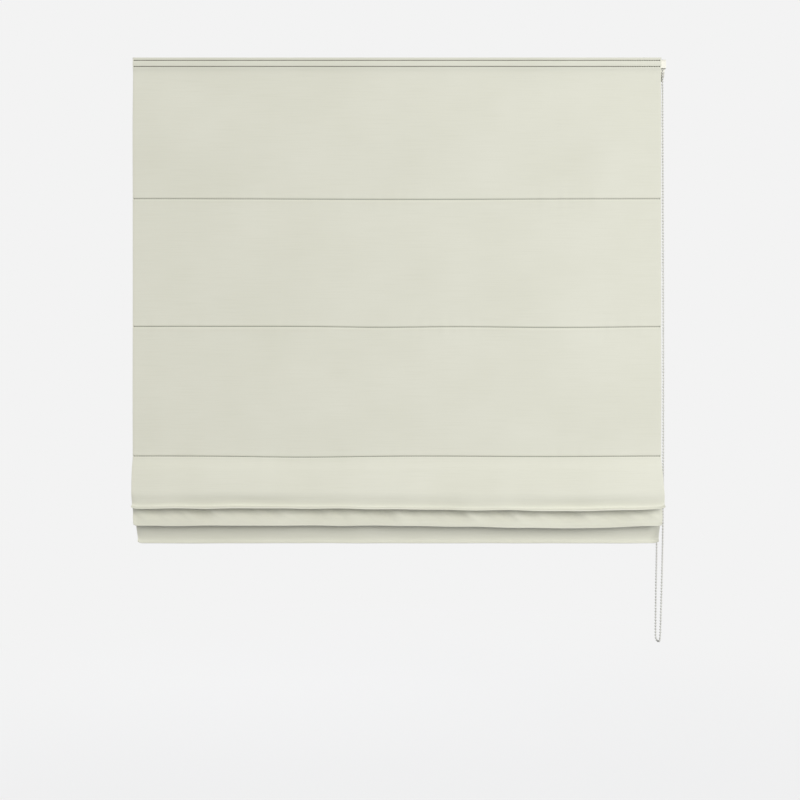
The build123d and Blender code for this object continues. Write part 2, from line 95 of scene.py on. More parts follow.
# %% Node and colour helpers
def add(tree, kind, inputs=None, **settings):
    """Add a node with its settings; each input is a value or the socket that feeds it."""
    node = tree.nodes.new(kind)
    for name, value in settings.items():
        setattr(node, name, value)
    for key, value in (inputs or {}).items():
        if isinstance(value, bpy.types.NodeSocket):
            tree.links.new(value, node.inputs[key])
        else:
            node.inputs[key].default_value = value
    return node


def colour(code):
    """A linear colour from an sRGB hex value."""
    parts = [int(code[i:i + 2], 16) / 255 for i in (1, 3, 5)]
    return (*(c / 12.92 if c <= 0.04045 else ((c + 0.055) / 1.055) ** 2.4 for c in parts), 1)


print("mid grey:", [round(c, 3) for c in colour("#808080")])

# %% [markdown]
# ## Light and floor
# The picture has soft light from the upper front that is as strong at the foot of the blind as at its head, so the
# folds shade one another. A sun lamp with a wide disc gives that, because it doesn't weaken with distance. A lamp at
# the right makes the left side slightly dimmer, one behind lights the back, and a pale world fills the rest. The pale
# background is only what the camera sees: the light that reaches the cloth stays at a plain level.


# %% World
def seen_rays(tree):
    """A socket that is 1 where the camera sees a surface, also by reflection, and 0 where it only gives light."""
    rays = add(tree, "ShaderNodeLightPath")
    bounced = add(tree, "ShaderNodeMath", {0: rays.outputs["Is Glossy Ray"], 1: rays.outputs["Is Transmission Ray"]},
                  operation="MAXIMUM")
    seen = add(tree, "ShaderNodeMath", {0: rays.outputs["Is Camera Ray"], 1: bounced.outputs[0]}, operation="MAXIMUM")
    return seen.outputs[0]


background = colour("#F3F3F3")
fill_strength = 0.42
world = bpy.data.worlds.new("soft_studio")
world.use_nodes = True
scene.world = world
sky = world.node_tree
sky.nodes.clear()
fill = add(sky, "ShaderNodeBackground", {"Color": colour("#F4F5F8"), "Strength": fill_strength})
plain = add(sky, "ShaderNodeBackground", {"Color": background, "Strength": 1.0})
both = add(sky, "ShaderNodeMixShader", {0: seen_rays(sky), 1: fill.outputs[0], 2: plain.outputs[0]})
add(sky, "ShaderNodeOutputWorld", {"Surface": both.outputs[0]})


# %% Lamps
def soft_lamp(name, place, aim, width, height, power, tint):
    """A rectangular lamp that faces a point."""
    lamp = bpy.data.lights.new(name, "AREA")
    lamp.shape, lamp.size, lamp.size_y = "RECTANGLE", width, height
    lamp.energy, lamp.color = power, colour(tint)[:3]
    holder = put(name, lamp)
    offset = [a - p for a, p in zip(aim, place)]
    holder.location = place
    holder.rotation_euler = (math.atan2(math.hypot(offset[0], offset[1]), -offset[2]), 0,
                             math.atan2(-offset[0], offset[1]))


sun_strength = 1.74
sun_disc, sun_slope, sun_turn = (math.radians(angle) for angle in (36, 72, 12))
sun = bpy.data.lights.new("upper_front_sun", "SUN")
sun.energy, sun.angle, sun.color = sun_strength, sun_disc, colour("#FFFDF8")[:3]
sun_holder = put("upper_front_sun", sun)
sun_holder.rotation_euler = (sun_slope, 0, sun_turn)
soft_lamp("right_fill", place=(1.7, -1.9, -0.5), aim=(0.2, 0, -0.5), width=0.9, height=1.2, power=15, tint="#F6F9FF")
soft_lamp("back_fill", place=(-0.8, 2.4, 0.9), aim=(0, 0, -0.55), width=1.8, height=1.4, power=58, tint="#F8FAFF")

# %% Floor
# Near the blind a quarter of the floor's look is real shade, and further off it fades into the background.
floor_level = -1.46
floor_reach = 3.0
fade_from, fade_to, flat_near = 0.5, 1.6, 0.75
signs = ((-1, -1), (1, -1), (1, 1), (-1, 1))
floor_mesh = bpy.data.meshes.new("floor")
floor_mesh.from_pydata([(x * floor_reach, y * floor_reach, floor_level) for x, y in signs], [], [(0, 1, 2, 3)])
floor = put("floor", floor_mesh)
floor_paint = bpy.data.materials.new("matte_pale_floor")
floor_paint.use_nodes = True
tree = floor_paint.node_tree
tree.nodes.clear()
seen = seen_rays(tree)
where = add(tree, "ShaderNodeTexCoord")
apart = add(tree, "ShaderNodeVectorMath", {0: where.outputs["Object"], 1: (0, 0, floor_level)}, operation="DISTANCE")
fade = add(tree, "ShaderNodeMapRange", {"Value": apart.outputs["Value"], "From Min": fade_from, "From Max": fade_to,
                                        "To Min": flat_near, "To Max": 1.0}, interpolation_type="SMOOTHSTEP")
flat_share = add(tree, "ShaderNodeMath", {0: seen, 1: fade.outputs[0]}, operation="MULTIPLY")
# The floor throws little light up, so that the shade under the folds stays deep.
tint = add(tree, "ShaderNodeMix", {"Factor": seen, "A": colour("#77777A"), "B": background}, data_type="RGBA")
lit = add(tree, "ShaderNodeBsdfDiffuse", {"Color": tint.outputs["Result"]})
glow = add(tree, "ShaderNodeEmission", {"Color": background, "Strength": 1.0})
both = add(tree, "ShaderNodeMixShader", {0: flat_share.outputs[0], 1: lit.outputs[0], 2: glow.outputs[0]})
add(tree, "ShaderNodeOutputMaterial", {"Surface": both.outputs[0]})
floor_mesh.materials.append(floor_paint)
print("floor at", floor_level)

# %% [markdown]
# ## Finishes
# Each finish starts from what the real surface is and how it was made. They share a start, a material with a
# Principled shader whose plain numbers are set on its own sockets, and an end, which gives it two tones and a relief.


# %% A material to start from
def finish(name, **values):
    """A material with a Principled shader; returns the material, its tree and the shader."""
    material = bpy.data.materials.new(name)
    material.use_nodes = True
    node_tree = material.node_tree
    node_tree.nodes.clear()
    shader = add(node_tree, "ShaderNodeBsdfPrincipled", {k.replace("_", " "): v for k, v in values.items()})
    add(node_tree, "ShaderNodeOutputMaterial", {"Surface": shader.outputs[0]})
    return material, node_tree, shader


def dress(tree, shader, mix, tones, height, strength, depth):
    """Mix two tones for a shader's colour, and give it the relief of a height."""
    mixed = add(tree, "ShaderNodeMix", {"Factor": mix, "A": colour(tones[0]), "B": colour(tones[1])},
                data_type="RGBA")
    tree.links.new(mixed.outputs["Result"], shader.inputs["Base Color"])
    bump = add(tree, "ShaderNodeBump", {"Height": height, "Strength": strength, "Distance": depth})
    tree.links.new(bump.outputs[0], shader.inputs["Normal"])


finishes = {}
# A wave texture repeats every 0.314 / scale, so this number over a real distance is the scale for that distance.
wave_repeat = 0.314

# %% [markdown]
# ### Face cloth
# A plain weave of cotton and polyester, dyed pale ivory. Up close there is a grid of threads; a few thicker threads
# (slubs) run across it, and the dye takes a little warmer and cooler in patches. The pattern has to follow the
# cloth, so it reads a UV map laid out in metres: across the cloth, and along its length. The threads are drawn at
# 0.9 mm, coarser than the real half millimetre, so that they show in a close view. Loose fibre ends give a soft
# sheen where the cloth turns away, as at the lower edge of a fold.


# %% Ivory weave
def woven_cloth(name, pale, deep, thread, slub_length, sheen):
    """Woven cloth in two close tones, with threads and slubs at real sizes in metres."""
    patch_size, slub_width = 0.16, 2.2 * thread
    patch_tone, slub_tone, slub_relief = 0.75, 0.18, 0.5
    material, tree, shader = finish(name, Roughness=0.88, Specular_IOR_Level=0.25, Sheen_Weight=sheen,
                                    Sheen_Roughness=0.35, Sheen_Tint=colour("#FFFFFA"))
    uv = add(tree, "ShaderNodeUVMap", uv_map="cloth_metres")
    patches = add(tree, "ShaderNodeTexNoise", {"Vector": uv.outputs[0], "Scale": 1 / patch_size, "Detail": 2.0})
    long_way = add(tree, "ShaderNodeMapping", {"Vector": uv.outputs[0], "Scale": (thread / slub_length, 1, 1)})
    slubs = add(tree, "ShaderNodeTexNoise", {"Vector": long_way.outputs[0], "Scale": 1 / slub_width, "Detail": 1.0})
    slub_step = add(tree, "ShaderNodeMapRange", {"Value": slubs.outputs[0], "From Min": 0.45, "From Max": 0.75})
    tone = add(tree, "ShaderNodeMath", {0: patches.outputs[0], 1: patch_tone}, operation="MULTIPLY")
    tone = add(tree, "ShaderNodeMath", {0: slub_step.outputs[0], 1: slub_tone, 2: tone.outputs[0]},
               operation="MULTIPLY_ADD")
    over, under = (add(tree, "ShaderNodeTexWave", {"Vector": uv.outputs[0], "Scale": wave_repeat / thread,
                                                   "Distortion": 0.6, "Detail Scale": 2.0}, bands_direction=way)
                   for way in ("X", "Y"))
    weave = add(tree, "ShaderNodeMath", {0: over.outputs["Fac"], 1: under.outputs["Fac"]}, operation="MAXIMUM")
    relief = add(tree, "ShaderNodeMath", {0: slub_step.outputs[0], 1: slub_relief, 2: weave.outputs[0]},
                 operation="MULTIPLY_ADD")
    dress(tree, shader, tone.outputs[0], (pale, deep), relief.outputs[0], 0.25, 0.0002)
    return material


finishes["face_fabric"] = woven_cloth("ivory_cotton_weave", "#E3E3D6", "#D6D6C6", 0.0009, 0.035, 0.35)
finishes["lining_fabric"] = woven_cloth("cotton_sateen_lining", "#EFEDE6", "#E6E4DB", 0.0007, 0.020, 0.25)
print("cloths:", [m.name for m in finishes.values()])

# %% [markdown]
# ### Tapes, cords and thread
# The batten tapes and the hook-and-loop strips are narrow white woven tapes. The lift cords are braided polyester,
# and the stitching is an olive-grey thread that shows as a fine dotted line. Its near-black tone is partly the thread's
# own colour and partly painted shade of the groove it lies in.


# %% Woven tape, braid and thread
def fine_cloth(name, pale, deep, spacing, depth):
    """A small woven or braided thing: two tones and a relief of its thread spacing, on object coordinates."""
    material, tree, shader = finish(name, Roughness=0.8, Specular_IOR_Level=0.3, Sheen_Weight=0.2)
    where = add(tree, "ShaderNodeTexCoord")
    ribs = add(tree, "ShaderNodeTexWave", {"Vector": where.outputs["Object"], "Scale": wave_repeat / spacing,
                                           "Distortion": 1.5, "Detail Scale": 3.0}, bands_direction="DIAGONAL")
    dress(tree, shader, ribs.outputs["Fac"], (deep, pale), ribs.outputs["Fac"], 0.4, depth)
    return material


finishes["woven_tape"] = fine_cloth("woven_polyester_tape", "#F2F1EC", "#DFDED7", 0.0008, 0.0002)
finishes["lift_cord"] = fine_cloth("braided_polyester_cord", "#F3F3EF", "#D4D4CE", 0.0010, 0.0002)
finishes["chain_cord"] = fine_cloth("braided_chain_cord", "#D2D2CB", "#BDBDB6", 0.0008, 0.0001)
# Near-black olive: partly the thread's own colour, partly painted shade of the stitch groove.
thread = fine_cloth("olive_grey_thread", "#4E4C3B", "#3C3A2E", 0.0005, 0.0001)
print("small cloths:", thread.name)

# %% [markdown]
# ### Metals and mouldings
# The headrail is an aluminium extrusion with a white powder coat, whose fine orange-peel shows as a soft broken
# gloss. The brackets are painted pressed steel, the shaft bright zinc, the spring oiled wire. The end caps, the
# drive and the spools are moulded plastic with a satin skin and a slight flow mottle.


# %% Hard finishes
def coated(name, pale, deep, grain, depth, **values):
    """A hard skin: two close tones and a shallow relief, both from noise of a real grain size."""
    material, tree, shader = finish(name, **values)
    where = add(tree, "ShaderNodeTexCoord")
    specks = add(tree, "ShaderNodeTexNoise", {"Vector": where.outputs["Object"], "Scale": 1 / grain, "Detail": 3.0})
    clouds = add(tree, "ShaderNodeTexNoise", {"Vector": where.outputs["Object"], "Scale": 0.03 / grain})
    dress(tree, shader, clouds.outputs[0], (pale, deep), specks.outputs[0], 0.3, depth)
    return material


# Each has its slot and name, two tones, the size of its grain, the depth of its relief, and its roughness.
for slot, name, pale, deep, grain, depth, roughness in (
        ("rail_aluminium", "white_powder_coat", "#F1F1EE", "#E9E9E5", 0.0008, 0.0001, 0.42),
        ("bracket_steel", "painted_pressed_steel", "#ECECE9", "#E0E0DC", 0.0010, 0.0001, 0.35),
        ("white_plastic", "moulded_ivory_acetal", "#EAE8DD", "#E2E0D4", 0.0006, 0.00005, 0.38),
        ("clear_plastic", "milky_polycarbonate", "#EDEEEC", "#DFE1DE", 0.0008, 0.00005, 0.25),
        ("chain_bead", "moulded_chain_bead", "#DEDED8", "#CECEC7", 0.0006, 0.00003, 0.28),
        ("batten_rod", "glass_fibre_rod", "#ECEBE0", "#DEDCCD", 0.0005, 0.00005, 0.45),
        ("bar_aluminium", "mill_aluminium", "#C9CACC", "#B9BBBE", 0.0006, 0.00005, 0.38),
        ("shaft_steel", "bright_zinc_steel", "#BFC1C4", "#AEB0B4", 0.0007, 0.00005, 0.32),
        ("spring_steel", "oiled_spring_wire", "#8C8E91", "#74767A", 0.0004, 0.00005, 0.4)):
    bare_metal = slot in ("bar_aluminium", "shaft_steel", "spring_steel")
    finishes[slot] = coated(name, pale, deep, grain, depth, Roughness=roughness, Metallic=float(bare_metal))
print("finishes:", len(finishes))

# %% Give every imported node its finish
slot_of = {sub["node"]: sub["material_slot"] for sub in frame["record"]["subparts"]}
for name, node in nodes.items():
    for slot in node.material_slots:
        slot.material = finishes[slot_of[name]]
print("dressed nodes:", len(slot_of))

# %% [markdown]
# ## Bead chain
# The chain is an endless cord with moulded beads every 6 mm. It hangs from the wheel in a long loop: down the front,
# round at the bottom, and up the back. The loop is one smooth NURBS line; its corner points are those of the part's
# own route, but the ends of the folds push the front strand out by a few millimetres and its foot leans in under the
# cloth, as the photograph shows. Geometry Nodes place the beads along the line.

# %% Chain sizes
chain_x = 0.5385
front_bow_x = 0.5425
front_foot_x = 0.5345
back_foot_x = 0.5325
bow_height = -0.85
wheel_pockets = 6
pocket_pitch = 0.018
wheel_radius = wheel_pockets * pocket_pitch / (2 * math.pi)
wheel_z = -0.024
chain_low = -1.170
bead_pitch = 0.006
bead_radius = 0.00225
chain_cord_diameter = 0.0012
# Half a side of the octagon whose corners pull the line round the wheel.
corner = wheel_radius * math.tan(math.radians(22.5))


def line_curve(name, points, radius):
    """A NURBS line through the pull of its points, with a round section."""
    data = bpy.data.curves.new(name, "CURVE")
    data.dimensions = "3D"
    data.resolution_u = 24
    data.bevel_depth = radius
    data.bevel_resolution = 2
    spline = data.splines.new("NURBS")
    spline.points.add(len(points) - 1)
    for point, place in zip(spline.points, points):
        point.co = (*place, 1)
    spline.order_u = 3
    spline.use_endpoint_u = True
    return put(name, data)


def plain_mesh(source, name, material=None):
    """A new object with the mesh that another object evaluates to."""
    graph = bpy.context.evaluated_depsgraph_get()
    mesh = bpy.data.meshes.new_from_object(source.evaluated_get(graph))
    mesh.name = name
    if material:
        mesh.materials.clear()
        mesh.materials.append(material)
    return put(name, mesh)


print("wheel radius:", round(wheel_radius * 1000, 2), "mm")

# %% The hanging loop
loop_points = [
    (chain_x, -wheel_radius, wheel_z),
    (front_bow_x, -wheel_radius, bow_height),
    (front_foot_x, -wheel_radius, chain_low - corner),
    (front_foot_x, -corner, chain_low - wheel_radius),
    (back_foot_x, corner, chain_low - wheel_radius),
    (back_foot_x, wheel_radius, chain_low - corner),
    (chain_x, wheel_radius, bow_height),
    (chain_x, wheel_radius, wheel_z),
]
chain_loop = line_curve("chain_loop", loop_points, chain_cord_diameter / 2)
chain_loop.data.materials.append(finishes["chain_cord"])
over_wheel_points = [
    (chain_x, wheel_radius, wheel_z),
    (chain_x, wheel_radius, wheel_z + corner),
    (chain_x, corner, wheel_z + wheel_radius),
    (chain_x, -corner, wheel_z + wheel_radius),
    (chain_x, -wheel_radius, wheel_z + corner),
    (chain_x, -wheel_radius, wheel_z),
]


# %% Beads along a line
def node_group(name, numbers):
    """A Geometry Nodes tree for a line, numbers and a material; returns it, its input node, their keys and the line."""
    tree = bpy.data.node_groups.new(name, "GeometryNodeTree")
    tree.interface.new_socket("Geometry", in_out="INPUT", socket_type="NodeSocketGeometry")
    tree.interface.new_socket("Geometry", in_out="OUTPUT", socket_type="NodeSocketGeometry")
    kinds = {**{label: "NodeSocketFloat" for label in numbers}, "Material": "NodeSocketMaterial"}
    keys = {label: tree.interface.new_socket(label, in_out="INPUT", socket_type=kind).identifier
            for label, kind in kinds.items()}
    given = add(tree, "NodeGroupInput")
    return tree, given, keys, add(tree, "GeometryNodeMeshToCurve", {0: given.outputs["Geometry"]})


def on_points(tree, stations, shape, inputs=None):
    """A smooth copy of a shape at each point of a line, turned along it."""
    smooth = add(tree, "GeometryNodeSetShadeSmooth", {"Geometry": shape.outputs[0]})
    along = add(tree, "GeometryNodeInputTangent")
    turned = add(tree, "FunctionNodeAlignRotationToVector", {"Vector": along.outputs[0]}, axis="Z")
    return add(tree, "GeometryNodeInstanceOnPoints", {"Points": stations.outputs[0], "Instance": smooth.outputs[0],
                                                      "Rotation": turned.outputs[0], **(inputs or {})})


def end_tree(tree, shape, given):
    """End a tree: its shapes are made real and take the material that was given."""
    real = add(tree, "GeometryNodeRealizeInstances", {0: shape.outputs[0]})
    painted = add(tree, "GeometryNodeSetMaterial", {"Geometry": real.outputs[0], "Material": given.outputs["Material"]})
    add(tree, "NodeGroupOutput", {0: painted.outputs[0]})


bead_tree, given, bead_keys, line = node_group("beads_on_a_cord", ["Pitch", "Radius", "Skip"])
whole = add(bead_tree, "GeometryNodeCurveLength", {0: line.outputs[0]})
stop = add(bead_tree, "ShaderNodeMath", {0: whole.outputs[0], 1: given.outputs["Skip"]}, operation="SUBTRACT")
trimmed = add(bead_tree, "GeometryNodeTrimCurve", {"Curve": line.outputs[0]}, mode="LENGTH")
# The trim node has two pairs of ends with the same names; the last pair is the one in metres.
bead_tree.links.new(given.outputs["Skip"], [s for s in trimmed.inputs if s.name == "Start"][-1])
bead_tree.links.new(stop.outputs[0], [s for s in trimmed.inputs if s.name == "End"][-1])
stations = add(bead_tree, "GeometryNodeResampleCurve", {"Curve": trimmed.outputs[0],
                                                       "Length": given.outputs["Pitch"]}, mode="LENGTH")
ball = add(bead_tree, "GeometryNodeMeshUVSphere", {"Segments": 8, "Rings": 6, "Radius": given.outputs["Radius"]})
end_tree(bead_tree, on_points(bead_tree, stations, ball), given)


# %% Strings of beads
def run_nodes(source, tree, keys, values, name):
    """Run a tree on an object's mesh and keep the result as a plain mesh; the source is removed."""
    modifier = source.modifiers.new(tree.name, "NODES")
    modifier.node_group = tree
    for label, value in values.items():
        modifier[keys[label]] = value
    result = plain_mesh(source, name)
    bpy.data.objects.remove(source)
    return result


def string_of_beads(points, skip, name):
    """Beads at even steps along the points read from a NURBS line."""
    bare = line_curve(name + "_line", points, 0)
    path = plain_mesh(bare, name + "_path")
    bpy.data.objects.remove(bare)
    return run_nodes(path, bead_tree, bead_keys, {"Pitch": bead_pitch, "Radius": bead_radius, "Skip": skip,
                                                  "Material": finishes["chain_bead"]}, name)


loop_beads = string_of_beads(loop_points, 0.0, "chain_loop_beads")
wheel_beads = string_of_beads(over_wheel_points, bead_pitch, "chain_wheel_beads")
wheel_line = line_curve("chain_over_wheel", over_wheel_points, chain_cord_diameter / 2)
wheel_cord = plain_mesh(wheel_line, "chain_wheel_cord", finishes["chain_cord"])
bpy.data.objects.remove(wheel_line)
print("bead faces:", len(loop_beads.data.polygons), len(wheel_beads.data.polygons))

for piece, node, slot in ((chain_loop, "chain_cord", "chain_cord"), (loop_beads, "chain_beads", "chain_bead"),
                          (wheel_beads, "chain_beads", "chain_bead"), (wheel_cord, "chain_cord", "chain_cord")):
    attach(piece, "headrail")
    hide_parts(node)

# %% [markdown]
# ## The cloth's route
# Seen from the side, the cloth is one long line: up behind the header, over its top, down past three seams, round
# two gathered loops, and down to the hem, which is turned up at the back. The corners below are those of the part's
# source, each with its bend radius, but the front lower edges of the folds are pressed sharper here. The line is
# worked out in fine steps once, and every piece of cloth takes its rows from it, so that neighbours meet exactly.

# %% Route corners: y, z and bend radius, in metres
seam_heights = (-0.287, -0.547, -0.807)
route_corners = [
    (-0.0244, -0.024, 0.0),
    (-0.0244, -0.002, 0.0009),
    (-0.0263, -0.002, 0.0009),
    *(place for z in seam_heights
      for place in ((-0.0263, z + 0.0025, 0.003), (-0.0258, z, 0.003), (-0.0263, z - 0.0025, 0.003))),
    (-0.0263, -0.82884, 0.10593),
    (-0.0478, -0.89644, 0.03753),
    (-0.0478, -0.911, 0.0025),
    (-0.0343, -0.911, 0.006),
    (-0.0177, -0.8249, 0.0015),
    (-0.0137, -0.8249, 0.0015),
    (-0.0293, -0.948, 0.0022),
    (-0.0168, -0.948, 0.0055),
    (-0.012, -0.8379, 0.0015),
    (-0.008, -0.8379, 0.0015),
    (0.0037, -0.911, 0.38732),
    (0.0037, -0.986, 0.002),
    (0.0109, -0.986, 0.0035),
    (0.0109, -0.95, 0.0),
]


def rounded_line(corners, step):
    """Fine points along the corners, with an arc of the given radius at each."""
    places = [np.array(c[:2]) for c in corners]
    line = [places[0]]
    for before, here, after, (_, _, radius) in zip(places, places[1:], places[2:], corners[1:]):
        back = (before - here) / np.linalg.norm(before - here)
        ahead = (after - here) / np.linalg.norm(after - here)
        half = math.acos(np.clip(back @ ahead, -1, 1)) / 2
        tangent = radius / math.tan(half)
        middle = here + (back + ahead) / np.linalg.norm(back + ahead) * radius / math.sin(half)
        first, last = here + back * tangent - middle, here + ahead * tangent - middle
        sweep = math.pi - 2 * half
        # At least four steps to an arc, and none that turns by more than 0.1 radians.
        count = max(4, math.ceil(sweep * radius / step), math.ceil(sweep / 0.1))
        for share in np.linspace(0, 1, count + 1):
            line.append(middle + (first * math.sin((1 - share) * sweep) + last * math.sin(share * sweep))
                        / math.sin(sweep))
    line.append(places[-1])
    return np.array(line)


route_step = 0.0005
route_samples = 3000
raw = rounded_line(route_corners, route_step)
raw_length = np.concatenate([[0], np.cumsum(np.linalg.norm(np.diff(raw, axis=0), axis=1))])
along_route = np.linspace(0, raw_length[-1], route_samples)
route_y = np.interp(along_route, raw_length, raw[:, 0])
route_z = np.interp(along_route, raw_length, raw[:, 1])
heading = np.unwrap(np.arctan2(np.gradient(route_z), np.gradient(route_y)))
print("cloth length:", round(raw_length[-1], 3), "m")


# %% Where things are along the route
def station(y, z):
    """The distance along the route of its point nearest to a place."""
    return along_route[np.argmin((route_y - y) ** 2 + (route_z - z) ** 2)]


header_rows = [station(-0.0263, z) for z in (-0.0077, -0.0200)]
side_hem_top = station(-0.0263, -0.0245)
seams = [station(-0.0258, z) for z in seam_heights]
front_edge = station(-0.0476, -0.9105)
front_fold = station(-0.0410, -0.911)
upper_gather = station(-0.0157, -0.8249)
back_edge = station(-0.0289, -0.9476)
back_fold = station(-0.0230, -0.948)
lower_gather = station(-0.0100, -0.8379)
side_hem_foot = station(0.0037, -0.9495)
lining_foot = station(0.0037, -0.9599)
hem_edge_low = station(0.0040, -0.9855)
hem_bar_top = station(0.0037, -0.9620)
hem_bottom = station(0.0073, -0.986)
route_end = along_route[-1]
print("stations:", [round(s, 3) for s in (*seams, front_fold, upper_gather, back_fold, lower_gather, hem_bottom)])

# %% [markdown]
# ## How the cloth hangs
# Real cloth is never quite flat. All that follows is a shift of the route by a few millimetres, which depends on the
# place across and along it. It is a sum of smooth waves and dips with fixed sizes, so it is the same each time. The
# lining takes the same shift as the face cloth, so it can't pass through it.

# %% Waves, weights and dips
half_width = 0.534


def ripple(place, lengths, seed):
    """A smooth wandering line between about -1 and 1, from waves of the given lengths."""
    phases = np.random.default_rng(seed).uniform(0, 2 * math.pi, len(lengths))
    return sum(np.sin(2 * math.pi * place / length + phase) for length, phase in zip(lengths, phases)) / len(lengths)


def rise_and_fall(s, low, peak, high):
    """A smooth weight: 0 before low, 1 at peak and 0 after high."""
    up = np.clip((s - low) / (peak - low), 0, 1)
    down = np.clip((high - s) / (high - peak), 0, 1)
    share = np.minimum(up, down)
    return share * share * (3 - 2 * share)


def swelling(s, size, low, peak, high):
    """A bulge, hollow or spread of a size, for distances along."""
    return size * rise_and_fall(s, low, peak, high)


def dips(x, spots):
    """How far a line across the blind hangs down; each dip has a middle, a half width and a depth."""
    return sum(depth * np.exp(-((x - middle) / width) ** 2) for middle, width, depth in spots)


# %% [markdown]
# Each panel swells forward by about a millimetre between its seams. A seam puckers along its thread, and hangs a
# millimetre or two lower in some places than in others. Just below the header the cloth falls back a little, which
# gives a soft shade there.

# %% Panels and seams
panel_swell = 0.0012
panel_slant = 0.35
panel_waves = [0.83, 0.51, 0.37]
pucker_depth = 0.00035
pucker_reach = 0.014
pucker_waves = [0.021, 0.034, 0.057]
pucker_groups = [0.31, 0.47]
seam_reach = 0.05
seam_sags = [0.0002, -0.0012, 0.0002]
seam_dips = [[(0.03, 0.28, 0.0016)], [(-0.03, 0.10, 0.0016), (0.33, 0.15, 0.0020)],
             [(-0.19, 0.14, 0.0024), (0.30, 0.15, 0.0014)]]
# Its size, and the distances along the route where it starts, is fullest and ends.
header_fall = (0.0022, header_rows[1] - 0.002, header_rows[1] + 0.011, header_rows[1] + 0.14)


def panel_shifts(x, s):
    """Shifts in y and z of the panels and the seams."""
    shift_y = swelling(s, *header_fall)
    shift_z = 0
    for i, (start, end) in enumerate(zip([side_hem_top] + seams[:2], seams)):
        share = np.clip((s - start) / (end - start), 0, 1)
        waves = 0.5 + ripple(x + panel_slant * s, panel_waves, 10 + i)
        shift_y = shift_y - panel_swell * np.sin(math.pi * share) ** 2 * waves
    for i, seam in enumerate(seams):
        near = np.exp(-np.abs(s - seam) / pucker_reach) * (s > side_hem_top)
        depth = pucker_depth * (1 + ripple(x, pucker_groups, 30 + i))
        shift_y = shift_y - near * depth * ripple(x, pucker_waves, 20 + i)
        shift_z = shift_z - np.exp(-((s - seam) / seam_reach) ** 2) * (dips(x, seam_dips[i]) + seam_sags[i])
    return shift_y, shift_z


# %% [markdown]
# Below the last seam the cloth gathers. The front fold bulges forward, most of all at its left. The back fold is
# hollow above its edge, with slanting streaks, and the hem panel bulges forward. The back fold and the hem spread a
# little at the sides. Each lower edge has a small pressed lip, and the front fold is tucked in above it.

# %% Bulges, hollows and pressed edges
# As far past the end of the cloth as the hem's foot is before it.
past_end = 2 * route_end - hem_bottom
# Each has its size and its three distances along the route, as above.
front_bulge = (0.0048, seams[2] + 0.001, seams[2] + 0.028, front_edge - 0.015)
back_hollow = (0.0074, back_edge - 0.085, back_edge - 0.030, back_edge - 0.002)
return_hollow = (0.0035, back_fold + 0.006, back_fold + 0.030, back_fold + 0.080)
hem_bulge = (0.0060, lower_gather + 0.03, hem_edge_low - 0.036, hem_edge_low - 0.005)
back_spread = (0.0056, upper_gather + 0.02, back_edge - 0.016, back_fold + 0.003)
hem_spread = (0.0050, lower_gather + 0.02, hem_edge_low - 0.036, past_end)
# Each lower edge has its place along the route, the depth of its tuck and how far its lip stands out.
pressed_edges = [(front_edge, 0.0078, 0.0012), (back_edge, 0.0, 0.0030), (hem_edge_low, 0.0006, 0.0030)]
# A tuck starts before its edge, is deepest just above it and ends just after it.
tuck_start, tuck_deepest, tuck_end = 0.032, 0.0045, 0.001
tuck_wander, tuck_waves = 0.3, [0.61, 0.35]
lip_width = 0.0040
streak_slant, streak_depth, streak_waves = -0.9, 0.7, [0.12, 0.074, 0.047]
left_from, left_width, left_bulge, left_tuck = 0.25, 0.25, 0.35, 0.3
side_from, side_width, side_relief = 0.46, 0.07, 0.65


def gather_shifts(x, s):
    """Shifts in x and y of the gathered cloth."""
    left_share = np.clip((-x - left_from) / left_width, 0, 1)
    side_share = np.clip((np.abs(x) - side_from) / side_width, 0, 1)
    streaks = 1 + streak_depth * ripple(x + streak_slant * s, streak_waves, 85)
    shift_x = x * (swelling(s, *back_spread) + swelling(s, *hem_spread))
    shift_y = swelling(s, *return_hollow) - swelling(s, *hem_bulge)
    shift_y = shift_y - (1 + left_bulge * left_share) * swelling(s, *front_bulge)
    shift_y = shift_y + streaks * (1 - side_relief * side_share) * swelling(s, *back_hollow)
    for edge, tuck, lip in pressed_edges:
        depth = tuck * (1 + tuck_wander * ripple(x, tuck_waves, 86) + left_tuck * left_share)
        shift_y = shift_y + depth * rise_and_fall(s, edge - tuck_start, edge - tuck_deepest, edge + tuck_end)
        shift_y = shift_y - lip * np.exp(-((s - edge) / lip_width) ** 2)
    return shift_x, shift_y


# %% [markdown]
# The lower edges of the folds aren't straight. They wander by about a millimetre, the two folds dip by two to five
# millimetres in two places right of the middle, all hang slightly to the right, and the corners are soft.

# %% Fold edges
corner_reach = 0.012
corner_lift = 0.0035
edge_share, edge_waves, short_edge_waves = 0.35, [0.74, 0.43], [0.17, 0.11]
sway_share, sway_waves = 0.7, [0.52, 0.29, 0.13]
# Each edge wanders up and down, hangs aside, narrows at its corners, and drops and dips.
folds = [
    {"span": (seams[2], front_fold, upper_gather), "wander": 0.0020, "seed": 50, "aside": 0.0024, "taper": -0.0002,
     "drop": 0.0006, "dips": [(0.16, 0.13, 0.0032), (0.36, 0.13, 0.0048)]},
    {"span": (upper_gather, back_fold, lower_gather), "wander": 0.0016, "seed": 60, "aside": 0.0014, "taper": 0.0022,
     "drop": 0.0002, "dips": [(0.16, 0.13, 0.0024), (0.36, 0.13, 0.0046)]},
    {"span": (lower_gather, hem_bottom, past_end), "wander": 0.0006, "seed": 70, "aside": 0.0024, "taper": 0.0022,
     "drop": 0.0016, "dips": []},
]


